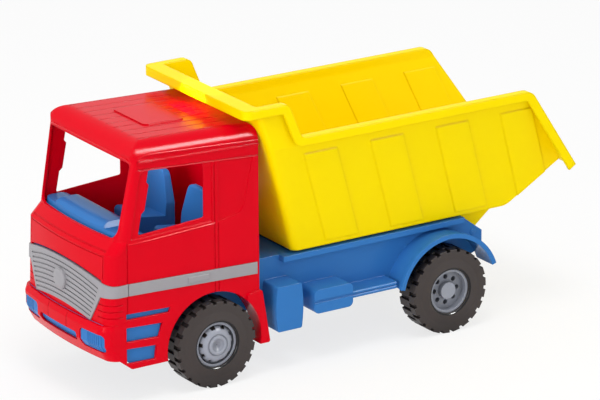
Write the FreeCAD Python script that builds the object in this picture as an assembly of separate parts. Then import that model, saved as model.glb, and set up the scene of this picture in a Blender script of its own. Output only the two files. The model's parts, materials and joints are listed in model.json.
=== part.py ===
import FreeCAD, Part
import math
import os

from FreeCAD import Vector

# Toy tipper truck, full size of the toy in millimetres
# X points forward, Y to the truck's left and Z up, with the floor at zero
# Most places along the truck are given as a distance ahead of the front axle

# Stance
wheelbase = 200.0
front_overhang = 94.0
rear_overhang = 107.0
overall_length = front_overhang + wheelbase + rear_overhang
front_axle_x = overall_length / 2 - front_overhang
rear_axle_x = front_axle_x - wheelbase

# General moulding sizes
plastic = 2.2
overlap = 0.5
reach_out = 30.0

# Chassis
chassis_half_width = 42.0
deck_top = 81.0
chassis_bottom = 44.0
chassis_front_x = front_axle_x + 42.0
chassis_rear_top_x = rear_axle_x - 22.0
chassis_rear_low_x = rear_axle_x - 42.0
chassis_rear_knee_z = 66.0
chassis_rear_bottom_z = 53.0
flange_width = 6.5
flange_height = 4.2
flange_front_x = rear_axle_x + 135.0
bearing_radius = 6.5
bearing_corner = 4.5
bearing_length = 8.0
tongue_spread = 6.0

# Wheels
wheel_gap = 1.5
tyre_radius = 32.0
tyre_width = 18.7
tyre_inner_y = chassis_half_width + wheel_gap
tyre_outer_y = tyre_inner_y + tyre_width
axle_z = tyre_radius
lug_depth = 1.9
lug_count = 22
lug_share = 0.66
outer_row_width = 6.5
axle_radius = 2.0
running_clearance = 0.08
seat_clearance = 0.05

# Hubs
rim_radius = 16.6
rim_wall = 1.9
hub_inner_y = tyre_inner_y + 1.0
hub_outer_y = tyre_outer_y - 1.2
dish_depth = 3.0
boss_height = 2.4
boss_radius = 6.2
boss_dimple_radius = 2.4
boss_dimple_depth = 1.0
notch_count = 10
notch_width = 2.6
notch_length = 1.9
notch_margin = 0.3
rear_dish_depth = 5.0
rear_boss_radius = 6.3
rear_hole_count = 8
rear_hole_radius = 1.9
rear_hole_circle = 9.8
rear_hole_depth = 4.0
hole_chords = 12
axle_end_y = hub_outer_y - 4.0

# Tank, locker and step ledge on each side of the chassis
side_gear_width = 19.0
side_gear_y = chassis_half_width + side_gear_width
tank_front_x = front_axle_x - 50.0
tank_length = 24.0
tank_bottom = 30.0
tank_top = 64.0
tank_belly = 1.8
locker_length = 33.0
locker_front_x = tank_front_x - tank_length - 9.0
locker_bottom = 37.5
locker_top = 55.5
locker_corner = 4.0
locker_groove = 1.0
ledge_rear_x = rear_axle_x + 44.0
ledge_z = 44.5
ledge_height = 5.5
ledge_setback = 3.0

# Rear mudguards
guard_radius = 40.3
guard_rim_radius = 43.8
guard_rim_width = 3.0
guard_y = tyre_outer_y - 0.2
guard_front_angle = 12.0
guard_rear_angle = 161.0

# Cab body: half width, back wall and plan rounding
cab_half_width = 58.5
cab_back_x = front_axle_x - 38.0
cab_wall = 2.0
front_bow = 3.2
cab_corner_radius = 10.0
corner_chords = 10
inner_chords = 4
least_radius = 0.4
step_bottom = 26.5
bumper_bottom = 34.0
bumper_face_low = 46.0
bumper_face_high = 57.0
bumper_top = 61.0
crease_z = 112.0
sill_z = 120.5
gutter_z = 177.5

# Front of the cab as height and distance ahead of the front axle, upwards from the lowest edge
front_line = [
    (step_bottom - 2.5, front_overhang - 14.0),
    (bumper_bottom, front_overhang - 6.5),
    (bumper_face_low, front_overhang),
    (bumper_face_high, front_overhang),
    (bumper_top, front_overhang - 1.5),
    (bumper_top, front_overhang - 4.0),
    (crease_z, front_overhang - 6.0),
    (sill_z, front_overhang - 14.5),
    (gutter_z, front_overhang - 29.1),
]

# Roof
roof_top = 190.6
roof_slope = 0.035
roof_bow = 0.6
roof_corner_radius = 4.0
roof_front_ahead = front_line[-1][1]
roof_front_radius = roof_top - gutter_z
roof_side_radius = 12.0
roof_rear_radius = 5.0
groove_spacing = 10.4
groove_pairs = 5
groove_width = 1.0
groove_depth = 0.7
groove_front_ahead = roof_front_ahead - roof_front_radius + 2.0
groove_rear_ahead = -24.0
panel_front_ahead = 33.0
panel_rear_ahead = 0.0
panel_half_width = 22.0
panel_height = 0.9
panel_corner = 3.0

# Windscreen and side windows
windscreen_low_half = cab_half_width - 5.8
windscreen_high_half = cab_half_width - 3.2
windscreen_low = sill_z + 1.0
windscreen_high = gutter_z - 1.5
windscreen_low_corner = 9.0
windscreen_high_corner = 3.0
pillar_lean = 0.2
window_rear_ahead = 6.8
window_low_ahead = 60.6
window_low_front = sill_z + 3.1
window_low_rear = sill_z + 6.6
window_high_front = gutter_z - 7.6
window_high_rear = gutter_z - 10.2
window_corner = 1.5
tab_low = sill_z + 18.5
tab_high = gutter_z - 16.0
tab_reach = 2.2

# Lines and panels on the sides of the cab
line_width = 0.8
line_depth = 0.6
seam_gap = 6.6
door_rear_ahead = -1.5
door_post = 3.0
waist_front_z = sill_z - 1.0
waist_rear_z = sill_z + 0.8
waist_ledge = 2.0
frame_depth = 0.8
header_drop = 5.6
header_slope = 0.065
quarter_low_ahead = -24.5
quarter_high_ahead = -33.5
quarter_corner = 9.0
gutter_proud = 0.8
gutter_width = 1.4
gutter_setback = 3.0

# Grille and belt strips
strip_rear_low = 77.4
strip_rear_high = 86.0
strip_rise = 0.037
strip_rear_gap = 1.9
grille_low_half = 38.0
grille_high_half = 49.0
grille_end_z = 61.4
grille_low_arch = 3.9
grille_high_arch = 7.1
wing_half = cab_half_width - 1.5
grille_gap = 1.2
band_proud = 0.9
band_recess = 1.0
band_clearance = 0.1
rib_count = 9
rib_groove = 1.1
rib_depth = 0.9
rib_margin = 1.2
badge_radius = 8.0
badge_height = 1.5
badge_z = 81.4
handle_ahead = 12.7
handle_half_length = 8.6
handle_half_height = 1.9
handle_proud = 0.7

# Bumper, lamps, louvres and step windows
lamp_outer_y = cab_half_width - 3.0
lamp_width = 25.5
lamp_bottom = 41.4
lamp_top = 54.5
lamp_corner = 3.0
lamp_recess = 0.8
lamp_rib_count = 7
lamp_rib_spacing = 2.4
lamp_rib_width = 0.9
lamp_rib_depth = 0.5
lamp_margin = 1.0
lamp_gap = 0.2
slot_half_width = 25.5
slot_bottom = 43.0
slot_top = 49.5
slot_corner = 2.5
plate_half_width = 12.8
plate_bottom = slot_top + 0.6
plate_top = bumper_top - 0.8
crease_spacing = 3.4
panel_half = cab_half_width - cab_corner_radius + 2.0
panel_bottom = 94.4
louvre_count = 3
louvre_pitch = 4.6
louvre_top_z = 76.0
louvre_inner_y = 46.0
step_front_ahead = 71.5
step_window_tops = [68.0, 57.8, 42.2]
step_window_bottoms = [63.6, 47.1, 31.2]
step_window_rear = [(35.0, 36.7), (41.8, 45.3), (47.1, 48.5)]
step_drop = 1.5

# Wheel arch and the leg behind the front wheel
arch_radius = 38.3
leg_top_z = 65.1
leg_bottom = 24.3
leg_top_ahead = -39.4
leg_bottom_ahead = -45.9
leg_front_ahead = -27.4
leg_proud = 1.8
leg_depth = 14.0

# Front insert
insert_clearance = 0.3
insert_back_x = front_axle_x + 43.0
insert_bottom = step_bottom + 2.0
insert_top = 101.0
wing_back_x = front_axle_x + 33.0
wing_bottom = 56.5
wing_top = 72.0

# Cab inside
floor_thickness = 2.0
floor_front_ahead = 66.0
seat_centre_y = 27.5
seat_low_half = 17.0
seat_high_half = 10.0
seat_front_x = front_axle_x + 20.0
seat_back_x = front_axle_x - 10.5
seat_back_thickness = 8.0
seat_cushion_top = 110.0
seat_top = 139.0
seat_corner = 7.0
dash_rear_x = front_axle_x + 47.0
dash_front_setback = 2.0
dash_top = sill_z + 3.5
dash_bottom = insert_top
dash_radius = 12.0
hump_rise = 4.0
hump_radius = 10.0
hump_front_ahead = 76.0
hump_far_y = -34.0
hump_near_y = 30.0
hump_slant = 9.0

# Tipping bed
bed_wall = 2.0
bed_floor_z = 83.0
bed_floor_half_width = 47.0
bed_wall_top_half_width = 65.0
tub_corner = 5.0
bed_cab_gap = 2.0
headboard_lean = 0.36
rim_z = 175.4
rim_half_width = 69.4
rim_skirt = 6.8
rim_rear_ahead = -66.5
rim_rear_radius = 9.0
step_top_radius = 6.0
step_low_radius = 3.0
tail_z = 112.5
ramp_front_ahead = -60.0
ramp_end_ahead = 3.7 - rear_overhang
ramp_end_z = 113.2
ramp_knee_radius = 14.0
canopy_top = 202.0
canopy_reach = 10.7
canopy_length = 36.5
canopy_corner = 6.0
step_run = 11.0
bed_rib_count = 4
bed_rib_lean = 0.384
bed_rib_proud = 0.8
bed_rib_top = 161.0
bed_rib_first_ahead = 127.7
bed_rib_width = 28.4
bed_rib_gap = 28.1

# Bed hinge
hinge_x = rear_axle_x - 34.0
hinge_z = 66.0
hinge_pin_radius = 2.0
ear_setback = 7.0
ear_thickness = 4.0
ear_outer_y = chassis_half_width - ear_setback
ear_inner_y = ear_outer_y - ear_thickness
ear_radius = 5.0
ear_side_gap = 1.0
rib_height = 1.7


def ahead(distance):
    """Place along the truck at a distance ahead of the front axle."""
    return front_axle_x + distance


def rounded_wire(corners, place):
    """Closed wire through corners given as (u, v) or as (u, v, radius)."""
    ends = []
    for index, corner in enumerate(corners):
        point = Vector(corner[0], corner[1], 0)
        radius = corner[2] if len(corner) > 2 else 0.0
        if radius <= 0.0:
            ends.append((point, None, point))
            continue
        before = Vector(*corners[index - 1][:2], 0) - point
        after = Vector(*corners[(index + 1) % len(corners)][:2], 0) - point
        before.normalize()
        after.normalize()
        half = before.getAngle(after) / 2
        inward = before + after
        inward.normalize()
        start = point + before * (radius / math.tan(half))
        end = point + after * (radius / math.tan(half))
        ends.append((start, point + inward * (radius / math.sin(half) - radius), end))
    edges = []
    for index, (start, middle, end) in enumerate(ends):
        if middle is not None:
            edges.append(Part.Arc(place(start), place(middle), place(end)).toShape())
        following = ends[(index + 1) % len(ends)][0]
        if end.distanceToPoint(following) > 1e-6:
            edges.append(Part.LineSegment(place(end), place(following)).toShape())
    return Part.Wire(edges)


def side_prism(corners, y_low, y_high):
    """Prism across the truck from an outline of (x, z) corners."""
    outline = rounded_wire(corners, lambda point: Vector(point.x, y_low, point.y))
    return Part.Face(outline).extrude(Vector(0, y_high - y_low, 0))


def front_prism(corners, x_low, x_high):
    """Prism along the truck from an outline of (y, z) corners."""
    outline = rounded_wire(corners, lambda point: Vector(x_low, point.x, point.y))
    return Part.Face(outline).extrude(Vector(x_high - x_low, 0, 0))


def plan_prism(corners, z_low, z_high):
    """Upright prism from an outline of (x, y) corners."""
    outline = rounded_wire(corners, lambda point: Vector(point.x, point.y, z_low))
    return Part.Face(outline).extrude(Vector(0, 0, z_high - z_low))


def box(x_low, x_high, y_low, y_high, z_low, z_high):
    """Box between two corners."""
    return Part.makeBox(x_high - x_low, y_high - y_low, z_high - z_low, Vector(x_low, y_low, z_low))


def cross_cylinder(radius, x, z, y_low, y_high):
    """Cylinder whose axis lies across the truck."""
    return Part.makeCylinder(radius, y_high - y_low, Vector(x, y_low, z), Vector(0, 1, 0))


def mirrored(shape):
    """The same shape on the truck's other side."""
    return shape.mirror(Vector(0, 0, 0), Vector(0, 1, 0))


def both_sides(shapes):
    """Shapes and their mirror images."""
    return shapes + [mirrored(shape) for shape in shapes]


def revolved(profile, x, z):
    """Ring about a cross axis from an outline of (y, radius) corners."""
    outline = rounded_wire(profile, lambda point: Vector(x, point.x, z + point.y))
    return Part.Face(outline).revolve(Vector(x, 0, z), Vector(0, 1, 0), 360)


def save(shape, node):
    """Write one node as a clean solid."""
    solids = shape.removeSplitter().Solids
    result = solids[0] if len(solids) == 1 else Part.makeCompound(solids)
    result.exportStep("parts/" + node + ".step")
    print(node, len(solids), "solids, volume", round(result.Volume / 1000, 2), "cm3, valid", result.isValid())


def plan_face(reach, height, inset, bow, corner):
    """Plan outline of the cab at one height: bowed front, chorded corners, left long at the back."""
    front = ahead(reach) - inset
    back = cab_back_x - reach_out
    half = cab_half_width - inset
    radius = max(corner - inset, least_radius)
    chords = corner_chords if inset < cab_wall else inner_chords
    middle = Vector(front - bow - radius, half - radius, height)
    left = [Vector(back, half, height)]
    for index in range(chords + 1):
        angle = math.pi / 2 * index / chords
        left.append(middle + Vector(math.sin(angle), math.cos(angle), 0) * radius)
    right = [Vector(point.x, -point.y, height) for point in reversed(left)]
    edges = [Part.Arc(left[-1], Vector(front, 0, height), right[0]).toShape()]
    for start, end in list(zip(left, left[1:])) + list(zip(right, right[1:])) + [(right[-1], left[0])]:
        edges.append(Part.LineSegment(start, end).toShape())
    return Part.Face(Part.Wire(Part.sortEdges(edges)[0]))


def cab_block(inset, low=0.0, high=gutter_z):
    """Cab body below the gutter, moved in by the inset, between two heights."""
    bands = []
    for (low_z, low_reach), (high_z, high_reach) in zip(front_line, front_line[1:]):
        if high_z <= low_z or high_z <= low or low_z >= high:
            continue
        face = plan_face(low_reach, low_z, inset, front_bow, cab_corner_radius)
        if low_z < sill_z:
            bands.append(face.extrude(Vector(high_reach - low_reach, 0, high_z - low_z)))
        else:
            top = plan_face(high_reach, high_z, inset, roof_bow, roof_corner_radius)
            bands.append(Part.makeLoft([face.OuterWire, top.OuterWire], True, True))
    body = bands[0].fuse(bands[1:]) if len(bands) > 1 else bands[0]
    room = box(cab_back_x + inset, ahead(front_overhang + reach_out), -cab_half_width - reach_out,
               cab_half_width + reach_out, max(low, 0.0), high)
    return body.common(room).removeSplitter()


def roof_limits(inset):
    """Two prisms whose common part rounds the roof's front, rear and shoulders."""
    front = ahead(roof_front_ahead) - inset
    top = roof_top - inset
    rear = cab_back_x + inset
    rear_top = top - roof_slope * (front - rear)
    wide = cab_half_width + reach_out
    outline = [
        (rear, 0.0),
        (ahead(front_overhang + reach_out), 0.0),
        (ahead(front_overhang + reach_out), gutter_z),
        (front, gutter_z),
        (front, top, roof_front_radius - inset),
        (rear, rear_top, roof_rear_radius - inset),
    ]
    lengthwise = side_prism(outline, -wide, wide)
    half = cab_half_width - inset
    start = rear - reach_out
    start_top = top - roof_slope * (front - start)
    shoulders = [
        (-half, -reach_out),
        (half, -reach_out),
        (half, start_top, roof_side_radius - inset),
        (-half, start_top, roof_side_radius - inset),
    ]
    barrel = front_prism(shoulders, start, front + 2 * reach_out)
    barrel.rotate(Vector(start, 0, start_top), Vector(0, 1, 0), -math.degrees(math.atan(roof_slope)))
    return lengthwise, barrel


def cab_solid(inset):
    """Whole outer form of the cab moved in by the inset."""
    roof = plan_face(roof_front_ahead, gutter_z, inset, roof_bow, roof_corner_radius)
    form = cab_block(inset).fuse(roof.extrude(Vector(0, 0, roof_top + overlap - gutter_z)))
    for limit in roof_limits(inset):
        form = form.common(limit)
    return form


def surface_cut(regions, depth):
    """The outer skin of the cab inside some regions, as deep as given."""
    skin = cab_block(-overlap, 0.0, sill_z).cut(cab_block(depth, 0.0, sill_z))
    return [skin.common(region) for region in regions]


def windscreen_hole():
    """Opening for the windscreen, cut through the front."""
    outline = [
        (windscreen_low_half, windscreen_low, windscreen_low_corner),
        (windscreen_high_half, windscreen_high, windscreen_high_corner),
        (-windscreen_high_half, windscreen_high, windscreen_high_corner),
        (-windscreen_low_half, windscreen_low, windscreen_low_corner),
    ]
    return front_prism(outline, ahead(front_line[-1][1] - 2 * front_bow - cab_corner_radius),
                       ahead(front_overhang + reach_out))


def pillar_ahead(height):
    """Front edge of the side window at one height."""
    return window_low_ahead - pillar_lean * (height - window_low_front)


def side_window_outline():
    """Outline of a side window with the tab on its front edge."""
    return [
        (ahead(window_rear_ahead), window_low_rear, window_corner),
        (ahead(pillar_ahead(window_low_front)), window_low_front, window_corner),
        (ahead(pillar_ahead(tab_low)), tab_low),
        (ahead(pillar_ahead(tab_low + tab_reach) - tab_reach), tab_low + tab_reach),
        (ahead(pillar_ahead(tab_high - tab_reach) - tab_reach), tab_high - tab_reach),
        (ahead(pillar_ahead(tab_high)), tab_high),
        (ahead(pillar_ahead(window_high_front)), window_high_front, window_corner),
        (ahead(window_rear_ahead), window_high_rear, window_corner),
    ]


def header_z(distance):
    """Height of the line under the gutter at a distance ahead of the front axle."""
    return gutter_z - header_drop + header_slope * (distance - seam_ahead(gutter_z))


def seam_ahead(height):
    """Distance of the corner seam ahead of the front axle at one height."""
    low_reach = front_line[-2][1] - front_bow - seam_gap
    high_reach = front_line[-1][1]
    share = (height - sill_z) / (gutter_z - sill_z)
    return low_reach + max(share, 0.0) * (high_reach - low_reach - 1.0)


def side_pocket(corners, depth):
    """Shallow pocket in both sides of the cab from an outline of (x, z) corners."""
    pocket = side_prism(corners, cab_half_width - depth, cab_half_width + reach_out)
    return both_sides([pocket])


def line_groove(start, end):
    """Thin engraved line on both sides of the cab between two (ahead, z) places."""
    dx = end[0] - start[0]
    dz = end[1] - start[1]
    length = math.hypot(dx, dz)
    across = (-dz / length * line_width / 2, dx / length * line_width / 2)
    corners = [
        (ahead(start[0]) + across[0], start[1] + across[1]),
        (ahead(start[0]) - across[0], start[1] - across[1]),
        (ahead(end[0]) - across[0], end[1] - across[1]),
        (ahead(end[0]) + across[0], end[1] + across[1]),
    ]
    return side_pocket(corners, line_depth)


def side_lines():
    """Door, seam and header lines on both sides of the cab."""
    rear_ahead = cab_back_x - front_axle_x
    post_ahead = door_rear_ahead - door_post
    header_front = seam_ahead(gutter_z) - 4.0
    arch_z = axle_z + arch_radius - 1.0
    lines = [
        ((door_rear_ahead, arch_z), (door_rear_ahead, header_z(door_rear_ahead))),
        ((post_ahead, arch_z), (post_ahead, waist_rear_z)),
        ((seam_ahead(gutter_z), gutter_z), (seam_ahead(sill_z), sill_z)),
        ((seam_ahead(sill_z), sill_z), (seam_ahead(sill_z) + line_depth, step_window_tops[0])),
        ((rear_ahead, header_z(rear_ahead)), (header_front, header_z(header_front))),
    ]
    cuts = []
    for start, end in lines:
        cuts += line_groove(start, end)
    return cuts


def side_panels():
    """Window frame and rear quarter pockets on both sides of the cab."""
    post_ahead = door_rear_ahead - door_post
    front_low = seam_ahead(sill_z) - 3.0
    front_high = seam_ahead(gutter_z) - 6.0
    frame = [
        (ahead(door_rear_ahead + 2.0), waist_rear_z + waist_ledge),
        (ahead(front_low), waist_front_z + waist_ledge),
        (ahead(front_high), header_z(front_high) - 1.0, 4.0),
        (ahead(door_rear_ahead + 2.0), header_z(door_rear_ahead) - 1.0),
    ]
    quarter = [
        (ahead(post_ahead), waist_rear_z + 1.0),
        (ahead(post_ahead), header_z(post_ahead) - 1.0),
        (ahead(quarter_high_ahead), header_z(quarter_high_ahead) - 1.0),
        (ahead(quarter_low_ahead), waist_rear_z + 4.0, quarter_corner),
    ]
    return side_pocket(frame, frame_depth) + side_pocket(quarter, frame_depth)


def gutter_ridges():
    """Raised gutter along both sides."""
    rear_ahead = cab_back_x - front_axle_x
    front = seam_ahead(gutter_z) - gutter_setback
    top_rear = gutter_z + roof_slope * (rear_ahead - front)
    outline = [
        (ahead(rear_ahead), top_rear),
        (ahead(front), gutter_z),
        (ahead(front), gutter_z - gutter_width),
        (ahead(rear_ahead), top_rear - gutter_width),
    ]
    ridge = side_prism(outline, cab_half_width - overlap, cab_half_width + gutter_proud)
    return both_sides([ridge])


def step_holes():
    """Three tapering windows in each lower corner of the cab."""
    holes = []
    for top, bottom, (rear_top, rear_bottom) in zip(step_window_tops, step_window_bottoms, step_window_rear):
        outline = [
            (ahead(step_front_ahead), bottom),
            (ahead(step_front_ahead), top),
            (ahead(rear_top), top - step_drop),
            (ahead(rear_bottom), bottom - step_drop / 2),
        ]
        holes.append(side_prism(outline, cab_half_width - cab_corner_radius / 2, cab_half_width + reach_out))
    return both_sides(holes)


def lamp_outline(grow):
    """Round-cornered outline of the left lamp as (y, z) corners."""
    low_y = lamp_outer_y - lamp_width - grow
    high_y = lamp_outer_y + grow
    return [
        (low_y, lamp_bottom - grow, lamp_corner + grow),
        (high_y, lamp_bottom - grow, lamp_corner + grow),
        (high_y, lamp_top + grow, lamp_corner + grow),
        (low_y, lamp_top + grow, lamp_corner + grow),
    ]


def lamp_prisms(grow):
    """Both lamps' outlines as prisms through the front."""
    return both_sides([nose_prism(lamp_outline(grow))])


def nose_prism(corners):
    """Prism through the bumper and the front wall from an outline of (y, z) corners."""
    rear = ahead(front_overhang - 2 * cab_corner_radius)
    return front_prism(corners, rear, ahead(front_overhang + reach_out))


def nose_box(y_low, y_high, z_low, z_high):
    """Box through the bumper and the front wall."""
    return nose_prism([(y_low, z_low), (y_high, z_low), (y_high, z_high), (y_low, z_high)])


def slot_hole():
    """Long slot with round ends under the plate."""
    outline = [
        (-slot_half_width, slot_bottom, slot_corner),
        (slot_half_width, slot_bottom, slot_corner),
        (slot_half_width, slot_top, slot_corner),
        (-slot_half_width, slot_top, slot_corner),
    ]
    return nose_prism(outline)


def strip_z(distance, rear_height):
    """Height on the belt strip, which rises towards the front."""
    return rear_height + strip_rise * (distance - (cab_back_x - front_axle_x))


def arch_edge(half, end_z, rise):
    """Arc over the grille from one side to the other."""
    return Part.Arc(Vector(0, half, end_z), Vector(0, 0, end_z + rise), Vector(0, -half, end_z)).toShape()


def grille_prism(grow):
    """Front view of the grille and its wings as a prism, grown by a clearance."""
    wing_top = strip_z(seam_ahead(sill_z), strip_rear_high) + grow
    wing_low = strip_z(seam_ahead(sill_z), strip_rear_low) - grow
    wing = wing_half + reach_out
    high = grille_high_half + grow
    low = grille_low_half + grow
    foot = grille_end_z - grow
    left = [Vector(0, wing_half, wing_top), Vector(0, wing, wing_top), Vector(0, wing, wing_low),
            Vector(0, high, wing_low), Vector(0, low, foot)]
    right = [Vector(0, -point.y, point.z) for point in left]
    edges = [arch_edge(wing_half, wing_top, grille_high_arch), arch_edge(low, foot, grille_low_arch)]
    for side in (left, right):
        edges += [Part.LineSegment(start, end).toShape() for start, end in zip(side, side[1:])]
    outline = Part.Wire(Part.sortEdges(edges)[0])
    outline.translate(Vector(ahead(seam_ahead(sill_z) - overlap), 0, 0))
    return Part.Face(outline).extrude(Vector(front_overhang, 0, 0))


def strip_prism(grow):
    """Side view of the belt strips as one prism across the cab, grown by a clearance."""
    rear = cab_back_x - front_axle_x + strip_rear_gap - grow
    front = seam_ahead(sill_z)
    corners = [
        (ahead(rear), strip_z(rear, strip_rear_low) - grow),
        (ahead(front), strip_z(front, strip_rear_low) - grow),
        (ahead(front), strip_z(front, strip_rear_high) + grow),
        (ahead(rear), strip_z(rear, strip_rear_high) + grow),
    ]
    return side_prism(corners, -cab_half_width - reach_out, cab_half_width + reach_out)


def band_region(grow):
    """Space that the grille and the belt strips fill, grown by a clearance."""
    return grille_prism(grow).fuse(strip_prism(grow))


def bumper_lines():
    """Plate edges, louvres and panel creases as regions to engrave in the front."""
    half_line = line_width / 2
    regions = []
    for y in (-plate_half_width, plate_half_width):
        regions.append(nose_box(y - half_line, y + half_line, plate_bottom, plate_top))
    for z in (crease_z - crease_spacing / 2, crease_z + crease_spacing / 2):
        regions.append(nose_box(-panel_half, panel_half, z, z + line_width))
    for y in (-panel_half, panel_half):
        regions.append(nose_box(y - half_line, y + half_line, panel_bottom, crease_z))
    louvres = []
    for index in range(louvre_count):
        z = louvre_top_z - louvre_pitch * index
        louvres.append(nose_box(louvre_inner_y, cab_half_width + 1.0, z - line_width, z))
    return regions + both_sides(louvres)


def roof_grooves():
    """Engraved lengthwise grooves in the roof, either side of the raised panel."""
    grooves = []
    floor_front = roof_top - groove_depth - roof_slope * (roof_front_ahead - groove_front_ahead)
    floor_rear = floor_front - roof_slope * (groove_front_ahead - groove_rear_ahead)
    profile = [
        (ahead(groove_rear_ahead), floor_rear),
        (ahead(groove_front_ahead), floor_front),
        (ahead(groove_front_ahead), floor_front + reach_out),
        (ahead(groove_rear_ahead), floor_rear + reach_out),
    ]
    for index in range(groove_pairs):
        y = groove_spacing * (index + 0.5)
        grooves.append(side_prism(profile, y - groove_width / 2, y + groove_width / 2))
    return both_sides(grooves)


def roof_panel():
    """Plain raised panel on the roof."""
    rear_z = roof_top - roof_slope * (roof_front_ahead - panel_rear_ahead)
    outline = [
        (ahead(panel_rear_ahead), -panel_half_width, panel_corner),
        (ahead(panel_front_ahead), -panel_half_width, panel_corner),
        (ahead(panel_front_ahead), panel_half_width, panel_corner),
        (ahead(panel_rear_ahead), panel_half_width, panel_corner),
    ]
    block = plan_prism(outline, rear_z - groove_depth - overlap, roof_top + panel_height)
    slope = panel_height - roof_slope * roof_front_ahead
    top = [
        (ahead(panel_rear_ahead - 1.0), 0.0),
        (ahead(panel_front_ahead + 1.0), 0.0),
        (ahead(panel_front_ahead + 1.0), roof_top + slope + roof_slope * (panel_front_ahead + 1.0)),
        (ahead(panel_rear_ahead - 1.0), roof_top + slope + roof_slope * (panel_rear_ahead - 1.0)),
    ]
    return block.common(side_prism(top, -panel_half_width - 1.0, panel_half_width + 1.0))


def make_legs():
    """Legs behind the front wheels: a proud outer plate and the arch sheet inside it."""
    wide = cab_half_width + leg_proud
    inner_y = cab_half_width - leg_depth
    leg = [
        (ahead(leg_front_ahead), leg_top_z - 1.6, 2.0),
        (ahead(leg_front_ahead + 3.0), axle_z),
        (ahead(leg_front_ahead - 8.0), leg_bottom),
        (ahead(leg_bottom_ahead), leg_bottom, 1.5),
        (ahead(leg_top_ahead), leg_top_z, 2.0),
    ]
    plate = side_prism(leg, cab_half_width - cab_wall, wide)
    sheet = side_prism(leg, inner_y, cab_half_width)
    sheet = sheet.common(cross_cylinder(arch_radius + cab_wall, front_axle_x, axle_z, inner_y, wide))
    tyre_room = cross_cylinder(arch_radius, front_axle_x, axle_z, inner_y - 1.0, wide + 1.0)
    return both_sides([plate.fuse(sheet).cut(tyre_room)])


def make_cab_shell():
    """Red cab: thin walls, roof, openings, engraved lines, wheel arches and legs."""
    wide = cab_half_width + reach_out
    shell = cab_solid(0.0)
    shell = shell.cut(roof_grooves()).fuse([roof_panel()] + gutter_ridges())
    shell = shell.cut(cab_solid(cab_wall))
    below = [
        (ahead(-reach_out - arch_radius), 0.0),
        (ahead(front_overhang + reach_out), 0.0),
        (ahead(front_overhang + reach_out), bumper_bottom),
        (ahead(front_line[1][1] - 10.5), bumper_bottom),
        (ahead(front_line[1][1] - 20.0), step_bottom, 4.0),
        (ahead(-reach_out - arch_radius), step_bottom),
    ]
    arch = cross_cylinder(arch_radius, front_axle_x, axle_z, -wide, wide)
    rear_low = box(cab_back_x - reach_out, front_axle_x, -wide, wide, 0.0, axle_z + arch_radius / 2)
    chassis_gap = box(cab_back_x - 5.0, cab_back_x + 10.0, -chassis_half_width - insert_clearance,
                      chassis_half_width + insert_clearance, 0.0, deck_top)
    shell = shell.cut([side_prism(below, -wide, wide), arch, rear_low, chassis_gap])
    windows = side_prism(side_window_outline(), -wide, wide)
    holes = [windscreen_hole(), windows, slot_hole()] + step_holes() + lamp_prisms(lamp_gap)
    shell = shell.cut(holes + side_lines() + side_panels() + surface_cut(bumper_lines(), line_depth))
    grille_room = box(ahead(seam_ahead(sill_z)), ahead(front_overhang), -grille_high_half, grille_high_half,
                      0.0, sill_z)
    grille_window = grille_prism(-band_recess).common(grille_room)
    lift = grille_window.translated(Vector(0, 0, grille_gap + band_recess))
    recess = band_region(band_clearance).cut(cab_block(band_recess + band_clearance, 0.0, sill_z))
    return shell.cut([grille_window, lift, recess]).fuse(make_legs())


def rib_arch(share):
    """End height and rise of one rib groove between the grille's two edges."""
    top = strip_z(seam_ahead(sill_z), strip_rear_high)
    end_z = grille_end_z + share * (top - grille_end_z)
    return end_z, grille_low_arch + share * (grille_high_arch - grille_low_arch)


def rib_grooves():
    """Arched grooves that leave the grille's horizontal ribs."""
    grooves = []
    for index in range(1, rib_count):
        share = index / rib_count
        end_z, rise = rib_arch(share)
        half = grille_low_half - rib_margin + share * (grille_high_half - grille_low_half)
        upper = arch_edge(half, end_z + rib_groove / 2, rise)
        lower = arch_edge(half, end_z - rib_groove / 2, rise)
        ends = []
        for y in (half, -half):
            ends.append(Part.LineSegment(Vector(0, y, end_z - rib_groove / 2),
                                         Vector(0, y, end_z + rib_groove / 2)).toShape())
        outline = Part.Wire(Part.sortEdges([upper, lower] + ends)[0])
        outline.translate(Vector(ahead(front_overhang - 2 * cab_corner_radius), 0, 0))
        grooves.append(Part.Face(outline).extrude(Vector(reach_out, 0, 0)))
    return grooves


def make_grille_band():
    """Silver grille with ribs and a plain badge, whose wings sweep round into the belt strips."""
    low = grille_end_z - 5.0
    outside = cab_block(-band_proud, low, sill_z)
    band = band_region(0.0).common(outside).cut(cab_block(band_recess, low, sill_z))
    cutter = cab_block(-band_proud - overlap, low, sill_z).cut(cab_block(rib_depth - band_proud, low, sill_z))
    seam = box(ahead(seam_ahead(sill_z) - line_width / 2), ahead(seam_ahead(sill_z) + line_width / 2),
               -cab_half_width - reach_out, cab_half_width + reach_out, low, sill_z)
    band = band.cut([cutter.common(groove) for groove in rib_grooves() + [seam]])
    face_x = ahead(front_line[5][1]) + (badge_z - bumper_top) / (crease_z - bumper_top) * (
        front_line[6][1] - front_line[5][1])
    badge = Part.makeCylinder(badge_radius, badge_height + band_proud + band_recess,
                              Vector(face_x - band_recess, 0, badge_z), Vector(1, 0, 0))
    handle_x = ahead(handle_ahead)
    handle_z = strip_z(handle_ahead, (strip_rear_low + strip_rear_high) / 2)
    handle_y = cab_half_width + band_proud + handle_proud
    handle = box(handle_x - handle_half_length, handle_x + handle_half_length, cab_half_width, handle_y,
                 handle_z - handle_half_height, handle_z + handle_half_height)
    return band.fuse([badge] + both_sides([handle]))


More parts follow.
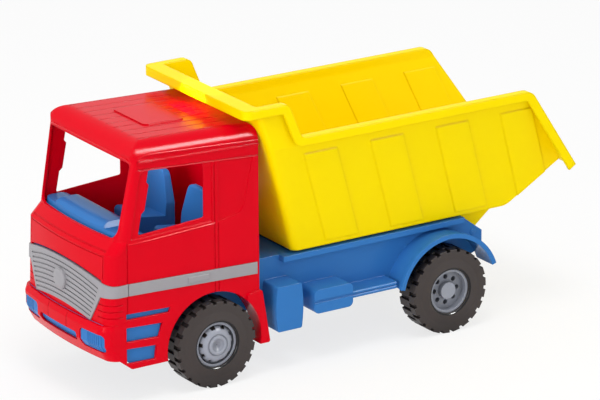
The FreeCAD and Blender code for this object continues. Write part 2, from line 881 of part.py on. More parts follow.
def make_front_insert():
    """Blue moulding behind the cab's front: ribbed lamps, slot back and step backs."""
    inset = cab_wall + insert_clearance
    wide = cab_half_width + reach_out
    front = ahead(front_overhang + reach_out)
    body = cab_block(inset, insert_bottom, insert_top)
    hollow = cab_block(inset + plastic, insert_bottom - plastic, insert_top - plastic)
    behind = box(cab_back_x - reach_out, insert_back_x, -wide, wide, 0.0, insert_top + overlap)
    below = [
        (insert_back_x, 0.0),
        (front, 0.0),
        (front, bumper_bottom + plastic),
        (ahead(front_line[1][1] - 12.5), bumper_bottom + plastic),
        (ahead(front_line[1][1] - 22.0), insert_bottom),
        (insert_back_x, insert_bottom),
    ]
    body = body.cut([hollow, behind, side_prism(below, -wide, wide)])
    wing_y = cab_half_width - inset
    wing = box(wing_back_x, insert_back_x + overlap, wing_y - plastic, wing_y, wing_bottom, wing_top)
    lens_skin = cab_block(lamp_recess, bumper_bottom, bumper_top).cut(
        cab_block(inset + plastic, bumper_bottom, bumper_top))
    groove_skin = cab_block(-overlap, bumper_bottom, bumper_top).cut(
        cab_block(lamp_recess + lamp_rib_depth, bumper_bottom, bumper_top))
    grooves = []
    for index in range(lamp_rib_count):
        y = lamp_outer_y - lamp_rib_spacing * (index + 1)
        line = nose_box(y - lamp_rib_width / 2, y + lamp_rib_width / 2, lamp_bottom + lamp_margin,
                        lamp_top - lamp_margin)
        grooves.append(groove_skin.common(line))
    lamps = [lens_skin.common(lens).cut(both_sides(grooves)) for lens in lamp_prisms(0.0)]
    return body.fuse(lamps + both_sides([wing]))


def make_cab_floor():
    """Blue floor tray of the cab."""
    area = cab_block(cab_wall + plastic + 2 * insert_clearance, deck_top, deck_top + floor_thickness)
    return area.common(box(cab_back_x, ahead(floor_front_ahead), -cab_half_width, cab_half_width,
                           deck_top, deck_top + floor_thickness))


def make_seat(centre_y):
    """Thick seat whose backrest tapers to a rounded top."""
    low = deck_top + floor_thickness
    slim = seat_back_thickness * 0.6
    profile = [
        (seat_front_x, low),
        (seat_front_x, seat_cushion_top, 3.0),
        (seat_back_x + seat_back_thickness, seat_cushion_top - 3.0),
        (seat_back_x + slim, seat_top, 2.0),
        (seat_back_x, seat_top, 2.0),
        (seat_back_x, low),
    ]
    outline = [
        (centre_y - seat_low_half, low),
        (centre_y + seat_low_half, low),
        (centre_y + seat_low_half, seat_cushion_top + 6.0, seat_corner),
        (centre_y + seat_high_half, seat_top, seat_corner),
        (centre_y - seat_high_half, seat_top, seat_corner),
        (centre_y - seat_low_half, seat_cushion_top + 6.0, seat_corner),
    ]
    side = side_prism(profile, centre_y - seat_low_half, centre_y + seat_low_half)
    return side.common(front_prism(outline, seat_back_x - 1.0, seat_front_x + 1.0))


def make_dashboard():
    """Large rolled dashboard behind the windscreen with a raised hump in its middle."""
    inset = cab_wall + insert_clearance
    half = cab_half_width
    front = ahead(front_overhang)
    roll = [
        (dash_rear_x, dash_bottom),
        (front, dash_bottom),
        (front, dash_top),
        (dash_rear_x, dash_top, dash_radius),
    ]
    hump_side = [
        (dash_rear_x + 2.0, dash_bottom),
        (ahead(hump_front_ahead), dash_bottom),
        (ahead(hump_front_ahead), dash_top + hump_rise, hump_radius),
        (dash_rear_x + 2.0, dash_top + hump_rise, hump_radius),
    ]
    hump_front = [
        (hump_far_y - hump_slant, dash_top - hump_slant),
        (hump_near_y + hump_slant, dash_top - hump_slant),
        (hump_near_y, dash_top + hump_rise),
        (hump_far_y, dash_top + hump_rise),
    ]
    hump = side_prism(hump_side, -half, half).common(front_prism(hump_front, dash_rear_x, front))
    area = cab_block(inset + dash_front_setback, dash_bottom, dash_top + hump_rise)
    return area.common(side_prism(roll, -half, half).fuse(hump))


def chassis_side_outline():
    """Side outline of the chassis walls."""
    return [
        (chassis_front_x, chassis_bottom),
        (chassis_front_x, deck_top),
        (chassis_rear_top_x, deck_top),
        (chassis_rear_low_x, chassis_rear_knee_z),
        (chassis_rear_low_x, chassis_rear_bottom_z),
        (rear_axle_x - 20.0, chassis_bottom),
    ]


def make_tank():
    """Left tank with a bowed outline."""
    rear = tank_front_x - tank_length
    middle = (tank_bottom + tank_top) / 2
    profile = [
        (tank_front_x - tank_belly, tank_bottom, 1.5),
        (tank_front_x, middle, 90.0),
        (tank_front_x - tank_belly, tank_top, 1.5),
        (rear + tank_belly, tank_top, 1.5),
        (rear, middle, 90.0),
        (rear + tank_belly, tank_bottom, 1.5),
    ]
    return side_prism(profile, chassis_half_width - overlap, side_gear_y)


def make_locker():
    """Left locker with round ends and a groove along it."""
    rear = locker_front_x - locker_length
    profile = [
        (rear, locker_bottom, locker_corner),
        (locker_front_x, locker_bottom, locker_corner),
        (locker_front_x, locker_top, locker_corner),
        (rear, locker_top, locker_corner),
    ]
    middle = (locker_bottom + locker_top) / 2
    groove = box(rear - 1.0, locker_front_x + 1.0, side_gear_y - locker_groove, side_gear_y + 1.0,
                 middle - locker_groove, middle + locker_groove)
    return side_prism(profile, chassis_half_width - overlap, side_gear_y).cut(groove)


def make_ledge():
    """Left step ledge with two round edges, one above the other."""
    outer_y = side_gear_y - ledge_setback
    radius = ledge_height / 4
    length = locker_front_x - locker_length + overlap - ledge_rear_x
    pieces = [box(ledge_rear_x, ledge_rear_x + length, chassis_half_width - overlap, outer_y - radius,
                  ledge_z - ledge_height / 2, ledge_z + ledge_height / 2)]
    for z in (ledge_z - radius, ledge_z + radius):
        start = Vector(ledge_rear_x, outer_y - radius, z)
        pieces.append(Part.makeCylinder(radius, length, start, Vector(1, 0, 0)))
    return pieces


def make_guard():
    """Left rear mudguard: a wide arch with a thicker band along its outer edge."""
    wide_y = guard_y + 1.0
    sheet = cross_cylinder(guard_radius + plastic, rear_axle_x, axle_z, chassis_half_width - overlap, guard_y)
    rim = cross_cylinder(guard_rim_radius, rear_axle_x, axle_z, guard_y - guard_rim_width, guard_y)
    room = cross_cylinder(guard_radius, rear_axle_x, axle_z, chassis_half_width - 1.0, wide_y)
    reach = 2 * guard_radius
    front = math.radians(guard_front_angle)
    rear = math.radians(guard_rear_angle)
    sector = [
        (rear_axle_x, axle_z),
        (rear_axle_x + reach * math.cos(front), axle_z + reach * math.sin(front)),
        (rear_axle_x + reach, axle_z + reach),
        (rear_axle_x - reach, axle_z + reach),
        (rear_axle_x + reach * math.cos(rear), axle_z + reach * math.sin(rear)),
    ]
    wedge = side_prism(sector, chassis_half_width - 1.0, wide_y)
    return sheet.fuse(rim).cut(room).common(wedge)


def make_bearing(axle_x):
    """Left tongue and round bearing that carry one axle."""
    spread = bearing_radius + tongue_spread
    tongue = [
        (axle_x - spread, chassis_bottom + 1.0),
        (axle_x - bearing_radius, axle_z - bearing_radius, bearing_corner),
        (axle_x + bearing_radius, axle_z - bearing_radius, bearing_corner),
        (axle_x + spread, chassis_bottom + 1.0),
    ]
    return side_prism(tongue, chassis_half_width - bearing_length, chassis_half_width)


def make_chassis():
    """Blue chassis: deck, walls, flange, bearings, tanks, lockers, ledges and mudguards."""
    block = side_prism(chassis_side_outline(), -chassis_half_width, chassis_half_width)
    hollow = box(chassis_rear_low_x - 5.0, chassis_front_x - plastic, -chassis_half_width + plastic,
                 chassis_half_width - plastic, 0.0, deck_top - plastic)
    flange_y = chassis_half_width + flange_width
    flange = box(chassis_rear_top_x, flange_front_x, chassis_half_width - plastic, flange_y,
                 deck_top - flange_height, deck_top)
    under = box(chassis_rear_top_x - 1.0, flange_front_x - plastic, chassis_half_width, flange_y - plastic,
                0.0, deck_top - plastic)
    pieces = [flange.cut(under), make_tank(), make_locker(), make_guard()] + make_ledge()
    for axle_x in (front_axle_x, rear_axle_x):
        pieces.append(make_bearing(axle_x))
    frame = block.cut(hollow).fuse(both_sides(pieces))
    holes = [cross_cylinder(hinge_pin_radius + seat_clearance, hinge_x, hinge_z, -side_gear_y, side_gear_y)]
    for axle_x in (front_axle_x, rear_axle_x):
        bore = axle_radius + running_clearance
        holes.append(cross_cylinder(bore, axle_x, axle_z, -side_gear_y, side_gear_y))
    ear_slot = box(hinge_x - 30.0, hinge_x + 16.0, ear_inner_y - ear_side_gap, ear_outer_y + ear_side_gap,
                   deck_top - 10.0, deck_top + 1.0)
    return frame.cut(holes + both_sides([ear_slot]))


def bed_front_x(height):
    """Front face of the headboard at one height."""
    return cab_back_x - bed_cab_gap + headboard_lean * (height - gutter_z)


def wall_y(height):
    """Outer face of the bed's side wall at one height."""
    share = min((height - bed_floor_z) / (rim_z - rim_skirt - bed_floor_z), 1.0)
    return bed_floor_half_width + share * (bed_wall_top_half_width - bed_floor_half_width)


def tub_plan(height, inset):
    """Plan outline of the tub at one height, moved in by the inset and left long at the tail."""
    front = bed_front_x(height) - inset * math.hypot(1.0, headboard_lean)
    half = wall_y(height) - inset
    rear = rear_axle_x - rear_overhang - reach_out
    radius = tub_corner - inset
    outline = [(rear, -half), (front, -half, radius), (front, half, radius), (rear, half)]
    return rounded_wire(outline, lambda point: Vector(point.x, point.y, height))


def tub_form(inset):
    """Loft between headboard and side walls, which lean up to the rim and stand upright above it."""
    heights = (bed_floor_z - overlap, rim_z - rim_skirt, canopy_top + reach_out)
    return Part.makeLoft([tub_plan(height, inset) for height in heights], True, True)


def rim_path():
    """Upper edge of the bed from the canopy's front to the tail, as (x, z, radius) points."""
    canopy_front_x = bed_front_x(canopy_top) + canopy_reach
    step_top_x = canopy_front_x - canopy_length
    return [
        (canopy_front_x, canopy_top, 0.0),
        (step_top_x, canopy_top, step_top_radius),
        (step_top_x - step_run, rim_z, -step_low_radius),
        (rear_axle_x + rim_rear_ahead, rim_z, rim_rear_radius),
        (rear_axle_x - rear_overhang, tail_z, 0.0),
    ]


def path_below(path, distance):
    """The path moved towards the bed's inside by a distance, with mitred corners."""
    moved = []
    normals = []
    for start, end in zip(path, path[1:]):
        dx, dz = end[0] - start[0], end[1] - start[1]
        length = math.hypot(dx, dz)
        normals.append((-dz / length, dx / length))
    for index, point in enumerate(path):
        before = normals[max(index - 1, 0)]
        after = normals[min(index, len(normals) - 1)]
        scale = 1 + before[0] * after[0] + before[1] * after[1]
        radius = point[2] - distance if point[2] else 0.0
        if point[2] > 0.0:
            radius = max(radius, 0.0)
        moved.append((point[0] + distance * (before[0] + after[0]) / scale,
                      point[1] + distance * (before[1] + after[1]) / scale, radius))
    return moved


def rim_band(distance, y_low, y_high):
    """Band along the rim of the given depth, on the left side."""
    path = rim_path()
    outline = path + path_below(path, distance)[::-1]
    return side_prism([(x, z, abs(radius)) for x, z, radius in outline], y_low, y_high)


def bed_outline(inset):
    """Side outline of the tub below the rim, moved in by the inset."""
    lean = math.hypot(1.0, headboard_lean)
    ramp_front_x = rear_axle_x + ramp_front_ahead
    ramp_end_x = rear_axle_x + ramp_end_ahead
    ramp_angle = math.atan2(ramp_end_z - bed_floor_z, ramp_front_x - ramp_end_x)
    ramp_shift = inset / math.cos(ramp_angle)
    floor = bed_floor_z + inset
    front_low = bed_front_x(floor) - inset * lean
    knee_x = ramp_front_x + (inset - ramp_shift) / math.tan(ramp_angle)
    reach = 2 * reach_out if inset else 0.0
    end_z = ramp_end_z + ramp_shift
    rise = math.tan(ramp_angle)
    lower = [(front_low, floor), (knee_x, floor, ramp_knee_radius - inset),
             (ramp_end_x - reach, end_z + reach * rise)]
    if inset:
        top = canopy_top + reach_out
        return lower + [(ramp_end_x - reach, top), (bed_front_x(top) - inset * lean, top)]
    path = [(x, z, abs(radius)) for x, z, radius in rim_path()]
    front_top = (bed_front_x(canopy_top), canopy_top)
    return lower + path[::-1][:-1] + [front_top]


def side_bands():
    """Four shallow raised bands that lean across the left side wall."""
    bands = []
    low_z = bed_floor_z + 3.5
    drop = bed_rib_top - low_z
    for index in range(bed_rib_count):
        front = rear_axle_x + bed_rib_first_ahead - index * (bed_rib_width + bed_rib_gap)
        outline = [
            (front, bed_rib_top),
            (front - bed_rib_width, bed_rib_top),
            (front - bed_rib_width - bed_rib_lean * drop, low_z),
            (front - bed_rib_lean * drop, low_z),
        ]
        bands.append(side_prism(outline, bed_wall_top_half_width / 2, rim_half_width))
    return bands


def make_ear():
    """Left rib under the bed floor with its hinge ear."""
    top = bed_floor_z + overlap
    rib = box(hinge_x, rear_axle_x + 118.0, ear_inner_y, ear_outer_y, bed_floor_z - rib_height, top)
    web = side_prism(
        [
            (hinge_x + 2.4 * ear_radius, top),
            (hinge_x + ear_radius, hinge_z),
            (hinge_x - ear_radius, hinge_z),
            (rear_axle_x + ramp_front_ahead - 2.0, top + 1.2),
        ],
        ear_inner_y,
        ear_outer_y,
    )
    eye = cross_cylinder(ear_radius, hinge_x, hinge_z, ear_inner_y, ear_outer_y)
    return rib.fuse([web, eye])


def canopy_plan(inset, z_low, z_high):
    """Plan of the bed with rounded front corners as a prism between two heights."""
    front = rim_path()[0][0] - inset
    half = rim_half_width - inset
    rear = rear_axle_x - rear_overhang - reach_out
    corner = canopy_corner - inset
    outline = [(rear, -half), (front, -half, corner), (front, half, corner), (rear, half)]
    return plan_prism(outline, z_low, z_high)


def make_canopy():
    """Shield over the cab: a flat top whose lip runs round its front and sides."""
    low = canopy_top - rim_skirt
    top = canopy_plan(0.0, low, canopy_top).cut(canopy_plan(bed_wall, low - 1.0, canopy_top - bed_wall))
    behind = box(rear_axle_x - rear_overhang - 2 * reach_out, bed_front_x(canopy_top) - bed_wall,
                 -rim_half_width - 1.0, rim_half_width + 1.0, low - 1.0, canopy_top + 1.0)
    return top.cut(behind)


def make_bed():
    """Yellow bed: leaning walls, headboard with canopy, scow tail, rim flange and hinge ears."""
    tub = side_prism(bed_outline(0.0), -rim_half_width, rim_half_width)
    bands = [tub.common(tub_form(-bed_rib_proud)).common(band) for band in side_bands()]
    hollow = side_prism(bed_outline(bed_wall), -rim_half_width, rim_half_width).common(tub_form(bed_wall))
    shelf = rim_band(bed_wall, bed_floor_half_width / 2, rim_half_width).cut(tub_form(bed_wall))
    skirt = rim_band(rim_skirt, rim_half_width - bed_wall, rim_half_width)
    pieces = both_sides(bands + [shelf, skirt, make_ear()]) + [make_canopy()]
    bed = tub.common(tub_form(0.0)).fuse(pieces)
    pin = cross_cylinder(hinge_pin_radius + running_clearance, hinge_x, hinge_z, -side_gear_y, side_gear_y)
    return bed.cut([hollow, pin]).common(canopy_plan(0.0, 0.0, canopy_top + reach_out))


def make_hinge_pin():
    """Steel pin of the bed hinge."""
    return cross_cylinder(hinge_pin_radius, hinge_x, hinge_z, -chassis_half_width, chassis_half_width)


def make_axle(axle_x):
    """Steel rod that turns in the chassis and carries two wheels."""
    return cross_cylinder(axle_radius, axle_x, axle_z, -axle_end_y, axle_end_y)


def make_front_hub(axle_x):
    """Left front hub: dish with notches round its edge and a dimpled boss."""
    dish_y = hub_outer_y - dish_depth
    boss_y = dish_y + boss_height
    inner = rim_radius - rim_wall
    profile = [
        (hub_inner_y, axle_radius),
        (hub_inner_y, rim_radius),
        (hub_outer_y, rim_radius),
        (hub_outer_y, inner),
        (dish_y, inner),
        (dish_y, boss_radius),
        (boss_y, boss_radius),
        (boss_y, boss_dimple_radius),
        (boss_y - boss_dimple_depth, boss_dimple_radius),
        (boss_y - boss_dimple_depth, 0.0),
        (axle_end_y, 0.0),
        (axle_end_y, axle_radius),
    ]
    notch_top = axle_z + inner - notch_margin
    notch = box(axle_x - notch_width / 2, axle_x + notch_width / 2, dish_y - dish_depth, dish_y + dish_depth,
                notch_top - notch_length, notch_top)
    return revolved(profile, axle_x, axle_z).cut(around_axle(notch, axle_x, notch_count))


def make_rear_hub(axle_x):
    """Left rear hub: deep disc with round holes and a wide flat boss."""
    disc_y = hub_outer_y - rear_dish_depth
    boss_y = hub_outer_y - 1.0
    inner = rim_radius - rim_wall
    profile = [
        (hub_inner_y, axle_radius),
        (hub_inner_y, rim_radius),
        (hub_outer_y, rim_radius),
        (hub_outer_y, inner),
        (disc_y, inner),
        (disc_y, rear_boss_radius),
        (boss_y, rear_boss_radius),
        (boss_y, 0.0),
        (axle_end_y, 0.0),
        (axle_end_y, axle_radius),
    ]
    rim = []
    for index in range(hole_chords):
        angle = 2 * math.pi * index / hole_chords
        rim.append((axle_x + rear_hole_radius * math.cos(angle),
                    axle_z + rear_hole_circle + rear_hole_radius * math.sin(angle)))
    hole = side_prism(rim, disc_y - rear_hole_depth, disc_y + 1.0)
    return revolved(profile, axle_x, axle_z).cut(around_axle(hole, axle_x, rear_hole_count))


def around_axle(shape, axle_x, count):
    """Copies of a shape spread evenly round a wheel."""
    copies = []
    for index in range(count):
        turned = shape.copy()
        turned.rotate(Vector(axle_x, 0, axle_z), Vector(0, 1, 0), 360.0 * index / count)
        copies.append(turned)
    return copies


def lug_row(axle_x, row, y_low, y_high):
    """Solid row of lugs across the axle, every second row half a pitch further round."""
    pitch = 2 * math.pi / lug_count
    floor_radius = tyre_radius - lug_depth
    steps = [(tyre_radius, 0.0), (tyre_radius, lug_share), (floor_radius, lug_share), (floor_radius, 1.0)]
    corners = []
    for index in range(lug_count):
        for radius, share in steps:
            angle = pitch * (index + 0.5 * row + share)
            corners.append((axle_x + radius * math.cos(angle), axle_z + radius * math.sin(angle)))
    return side_prism(corners, y_low, y_high)


def make_tyre(axle_x):
    """Left tyre with two staggered rows of lugs."""
    row_y = tyre_outer_y - outer_row_width
    bore = cross_cylinder(rim_radius + seat_clearance, axle_x, axle_z, tyre_inner_y - 1.0, tyre_outer_y + 1.0)
    return lug_row(axle_x, 0, tyre_inner_y, row_y).fuse(lug_row(axle_x, 1, row_y, tyre_outer_y)).cut(bore)


def main():
    """Build every node and write it to the parts folder."""
    os.makedirs("parts", exist_ok=True)
    save(make_chassis(), "chassis")
    save(make_cab_shell(), "cab_shell")
    save(make_grille_band(), "grille_band")
    save(make_front_insert(), "front_insert")
    save(make_cab_floor(), "cab_floor")
    save(make_seat(seat_centre_y), "seat_left")
    save(make_seat(-seat_centre_y), "seat_right")
    save(make_dashboard(), "dashboard")
    save(make_bed(), "bed")
    save(make_hinge_pin(), "bed_hinge_pin")
    hubs = {"front": make_front_hub(front_axle_x), "rear": make_rear_hub(rear_axle_x)}
    for name, axle_x in (("front", front_axle_x), ("rear", rear_axle_x)):
        save(make_axle(axle_x), name + "_axle")
        hub = hubs[name]
        tyre = make_tyre(axle_x)
        save(hub, "hub_" + name + "_left")
        save(mirrored(hub), "hub_" + name + "_right")
        save(tyre, "tyre_" + name + "_left")
        save(mirrored(tyre), "tyre_" + name + "_right")


main()
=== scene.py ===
import bpy
import json
import math
from mathutils import Matrix, Quaternion, Vector

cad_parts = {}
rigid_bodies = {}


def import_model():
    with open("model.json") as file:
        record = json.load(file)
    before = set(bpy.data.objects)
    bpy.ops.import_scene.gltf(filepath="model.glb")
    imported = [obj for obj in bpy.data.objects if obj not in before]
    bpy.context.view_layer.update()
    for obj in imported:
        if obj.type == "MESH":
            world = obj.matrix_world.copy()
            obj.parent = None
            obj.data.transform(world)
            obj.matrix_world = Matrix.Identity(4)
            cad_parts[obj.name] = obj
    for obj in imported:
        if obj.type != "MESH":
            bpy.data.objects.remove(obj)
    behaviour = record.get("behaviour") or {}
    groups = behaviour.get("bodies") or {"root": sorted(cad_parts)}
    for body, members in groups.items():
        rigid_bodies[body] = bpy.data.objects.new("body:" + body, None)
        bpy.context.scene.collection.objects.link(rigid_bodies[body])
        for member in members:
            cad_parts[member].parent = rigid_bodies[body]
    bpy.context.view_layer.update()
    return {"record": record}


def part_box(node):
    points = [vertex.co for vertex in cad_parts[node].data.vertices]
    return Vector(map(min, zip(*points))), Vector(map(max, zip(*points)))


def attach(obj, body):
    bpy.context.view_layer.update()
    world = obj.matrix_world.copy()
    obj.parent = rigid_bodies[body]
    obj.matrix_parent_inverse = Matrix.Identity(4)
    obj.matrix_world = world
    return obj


# Looks of a toy tipper truck: finishes, trim, floor, light and camera round the CAD model
# The frame is in metres, with X forward, Y to the truck's left and Z up

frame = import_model()
scene = bpy.context.scene
millimetre = 0.001
sides = (("left", 1), ("right", -1))

# Camera of the photograph, in metres, degrees and millimetres of lens, aimed from the front axle's place
camera_azimuth = 147.29
camera_elevation = 18.69
camera_roll = -0.27
camera_distance = 3.0757
camera_lens = 253.6
camera_sensor = 36.0
camera_reach = 100.0
camera_aim_from_axle = Vector((-0.1143, -0.0065, 0.0992))

# Colours, linear
red_colour = (0.68, 0.0, 0.010)
blue_colour = (0.034, 0.18, 0.5)
yellow_colour = (1.0, 0.755, 0.0)
silver_colour = (0.31, 0.30, 0.32)
grey_colour = (0.32, 0.34, 0.40)
tyre_colour = (0.05, 0.04, 0.038)
# Near-black of the bead's wall toward the rim: painted shade of the groove round the rim
bead_shade_colour = (0.004, 0.004, 0.005)
steel_colour = (0.55, 0.55, 0.56)
floor_colour = (0.92, 0.92, 0.92, 1.0)
white = (1.0, 1.0, 1.0, 1.0)

# Surface of the plastics: noise scales, share by which the gloss varies, and lengths in metres
flow_mark_scale = 35.0
grain_scale = 900.0
gloss_change = 0.15
grain_height = 0.0002
# Reach of the painted shade in creases, in metres
crease_shade_reach = 0.018

# Samples with which soft edges and the painted shade in creases are worked out
edge_samples = 6
crease_shade_samples = 8

# Roof's front corners, in metres: place, edge radius there, and distances where it starts and stops to fade
roof_corner = (0.1675, 0.0555, 0.184)
roof_corner_edge = 0.004
roof_corner_near = 0.006
roof_corner_far = 0.02

# Brightness of the white surround as the camera sees it and as it lights the truck
surround_seen = 1.0
surround_lit = 0.78

# Floor: its size in metres and the share of plain white in it that keeps its shadow faint
floor_size = 8.0
floor_whiteness = 0.75

# Front wheel dome: radius and depth inside the hub's outer face, in millimetres, from its edge inwards
dome_profile = [
    (13.9, 3.2),
    (13.8, 2.2),
    (13.5, 1.0),
    (12.9, -0.1),
    (11.9, -1.1),
    (10.4, -1.9),
    (8.8, -2.4),
    (8.1, -2.5),
    (7.7, -1.9),
    (7.2, -1.9),
    (6.9, -3.1),
    (6.5, -3.3),
    (5.3, -3.3),
    (4.8, -3.1),
    (4.5, -2.1),
    (2.6, -2.0),
    (2.2, -1.1),
    (0.4, -0.9),
]
dome_steps = 160

# Notches in the dome's flank, their faces painted dark with tyre rubber for the shade in deep openings: how
# many, share of the circle, inner radius and depth in millimetres
notch_count = 10
notch_share = 0.36
notch_inner = 12.5
notch_depth = 1.2

# Raised bead of a tyre, from the tread inwards: distance outside the rim and height over the sidewall
bead_profile = [
    (9.0, -0.1),
    (6.0, 0.2),
    (3.2, 0.6),
    (2.0, 0.78),
    (1.5, 0.8),
    (0.9, 0.6),
    (0.4, 0.1),
    (0.1, -0.4),
]
bead_steps = 128
# Faces of the bead's wall toward the rim, painted near-black for the shade in the groove
bead_shaded_faces = 3

# Round mouldings on the cab: ahead of the front axle, out from the middle and height, in millimetres
gutter_line = [
    (-37.6, 58.5, 176.5),
    (48.0, 58.3, 181.4),
    (54.5, 58.1, 181.2),
    (59.5, 57.9, 179.6),
    (62.2, 57.4, 177.0),
    (62.6, 57.2, 173.5),
]
lip_line = [
    (62.6, 57.2, 173.5),
    (63.9, 55.6, 176.6),
    (64.7, 51.0, 177.9),
    (64.9, 25.0, 178.1),
    (64.9, 0.0, 178.1),
]
waist_line = [
    (-1.5, 58.5, 121.6),
    (51.0, 58.5, 119.1),
    (67.0, 58.5, 118.8),
    (69.0, 57.9, 118.8),
]

# Radius of the mouldings, in millimetres, and how finely they are rounded
moulding_radius = 0.6
moulding_steps = 3

# Side walls of the bed, in millimetres: half width at the floor, its height, outward lean and thickness
bed_floor_half = 47.0
bed_floor_z = 83.0
bed_wall_slope = 18.0 / 85.6
bed_wall = 2.05

# Raised bands inside the bed, in millimetres: front edge at the top and lower end of each
band_places = [(34.2, 92.0), (-22.3, 92.0), (-78.8, 92.0), (-135.3, 118.0)]
band_high = 161.0
band_width = 28.4
band_lean = 0.384
band_root = 0.2
band_height = 0.5

# Blue caps of the hinge pin: radius and distance past the pin's end, in millimetres
pin_cap_profile = [
    (2.8, -0.1),
    (2.8, 0.15),
    (2.6, 0.3),
    (0.1, 0.3),
]
pin_cap_steps = 48

# Plain dome on the grille's disc, in metres
badge_radius = 0.0072
badge_rise = 0.0012
badge_z = 0.0814
badge_steps_round = 64
badge_steps_across = 24


def new_object(name, data):
    """Object in the scene that shows the given data."""
    thing = bpy.data.objects.new(name, data)
    scene.collection.objects.link(thing)
    return thing


def wheel_centre(end):
    """Middle of an axle, where its wheels turn."""
    low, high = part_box(end + "_axle")
    return (low + high) / 2


def make_camera():
    """Long lens at the photograph's viewing angle."""
    azimuth = math.radians(camera_azimuth)
    elevation = math.radians(camera_elevation)
    level = math.cos(elevation)
    back = Vector((math.sin(azimuth) * level, -math.cos(azimuth) * level, math.sin(elevation)))
    data = bpy.data.cameras.new("camera")
    data.lens = camera_lens
    data.sensor_width = camera_sensor
    data.clip_end = camera_reach
    camera = new_object("camera", data)
    aim = Vector((wheel_centre("front").x, 0, 0)) + camera_aim_from_axle
    camera.location = aim + back * camera_distance
    camera.rotation_mode = "QUATERNION"
    turn = (-back).to_track_quat("-Z", "Y")
    camera.rotation_quaternion = Quaternion(back, math.radians(camera_roll)) @ turn
    scene.camera = camera


def noise(tree, place, scale):
    """Noise in the object's own coordinates."""
    texture = tree.nodes.new("ShaderNodeTexNoise")
    texture.inputs["Scale"].default_value = scale
    tree.links.new(place, texture.inputs["Vector"])
    return texture.outputs["Fac"]


def carried(tree, value, to_low, to_high, from_low=0.0, from_high=1.0):
    """Value carried from one span to another."""
    span = tree.nodes.new("ShaderNodeMapRange")
    span.inputs["From Min"].default_value = from_low
    span.inputs["From Max"].default_value = from_high
    span.inputs["To Min"].default_value = to_low
    span.inputs["To Max"].default_value = to_high
    tree.links.new(value, span.inputs["Value"])
    return span.outputs["Result"]


def marked_colour(tree, marks, colour, shade):
    """Colour that gets a little darker and lighter with the flow marks."""
    ramp = tree.nodes.new("ShaderNodeValToRGB")
    for element, factor in zip(ramp.color_ramp.elements, (1 - shade, 1 + shade)):
        element.color = tuple(min(1.0, channel * factor) for channel in colour) + (1.0,)
    tree.links.new(marks, ramp.inputs["Fac"])
    return ramp.outputs["Color"]


def painted_crease_shade(tree, colour_output, crease_shade):
    """Painted shade: colour that loses a share of its light in hollows and creases, where shade falls."""
    hollow_shade = tree.nodes.new("ShaderNodeAmbientOcclusion")
    hollow_shade.samples = crease_shade_samples
    hollow_shade.inputs["Distance"].default_value = crease_shade_reach
    crease_shaded = tree.nodes.new("ShaderNodeMix")
    crease_shaded.data_type = "RGBA"
    crease_shaded.blend_type = "MULTIPLY"
    crease_shaded.inputs["Factor"].default_value = 1.0
    tree.links.new(colour_output, crease_shaded.inputs["A"])
    tree.links.new(carried(tree, hollow_shade.outputs["AO"], 1.0 - crease_shade, 1.0), crease_shaded.inputs["B"])
    return crease_shaded.outputs["Result"]


def rounder_corners(tree, place, soft_edge):
    """Edge radius that grows near the roof's front corners, alike on both sides."""
    apart = tree.nodes.new("ShaderNodeVectorMath")
    apart.operation = "ABSOLUTE"
    tree.links.new(place, apart.inputs[0])
    away = tree.nodes.new("ShaderNodeVectorMath")
    away.operation = "DISTANCE"
    away.inputs[1].default_value = roof_corner
    tree.links.new(apart.outputs[0], away.inputs[0])
    return carried(tree, away.outputs["Value"], roof_corner_edge, soft_edge * millimetre,
                   roof_corner_near, roof_corner_far)


def skin_normal(tree, place, soft_edge, grain, round_roof):
    """Normal with soft edges and a fine grain."""
    bevel = tree.nodes.new("ShaderNodeBevel")
    bevel.samples = edge_samples
    bevel.inputs["Radius"].default_value = soft_edge * millimetre
    if round_roof:
        tree.links.new(rounder_corners(tree, place, soft_edge), bevel.inputs["Radius"])
    bump = tree.nodes.new("ShaderNodeBump")
    bump.inputs["Strength"].default_value = grain
    bump.inputs["Distance"].default_value = grain_height
    tree.links.new(noise(tree, place, grain_scale), bump.inputs["Height"])
    tree.links.new(bevel.outputs["Normal"], bump.inputs["Normal"])
    return bump.outputs["Normal"]


def plastic(name, colour, roughness, specular, shade=0.04, soft_edge=0.6, grain=0.05, crease_shade=0.0,
            round_roof=False):
    """Moulded plastic with faint flow marks, a fine skin, soft edges and, if asked, painted shade darkening
    its creases.
    """
    material = bpy.data.materials.new(name)
    material.use_nodes = True
    tree = material.node_tree
    shader = tree.nodes["Principled BSDF"]
    shader.inputs["Specular IOR Level"].default_value = specular
    place = tree.nodes.new("ShaderNodeTexCoord").outputs["Object"]
    marks = noise(tree, place, flow_mark_scale)
    colour_output = marked_colour(tree, marks, colour, shade)
    # Painted shade: the colour is darkened in hollows and creases
    if crease_shade:
        colour_output = painted_crease_shade(tree, colour_output, crease_shade)
    gloss = carried(tree, marks, roughness * (1 - gloss_change), roughness * (1 + gloss_change))
    tree.links.new(colour_output, shader.inputs["Base Color"])
    tree.links.new(gloss, shader.inputs["Roughness"])
    tree.links.new(skin_normal(tree, place, soft_edge, grain, round_roof), shader.inputs["Normal"])
    return material


def steel(name):
    """Drawn steel rod."""
    material = plastic(name, steel_colour, roughness=0.3, specular=0.5)
    material.node_tree.nodes["Principled BSDF"].inputs["Metallic"].default_value = 1.0
    return material


def red(name, specular, soft_edge, round_roof=False):
    """Glossy red plastic of the cab."""
    return plastic(name, red_colour, roughness=0.2, specular=specular, soft_edge=soft_edge,
                   round_roof=round_roof)


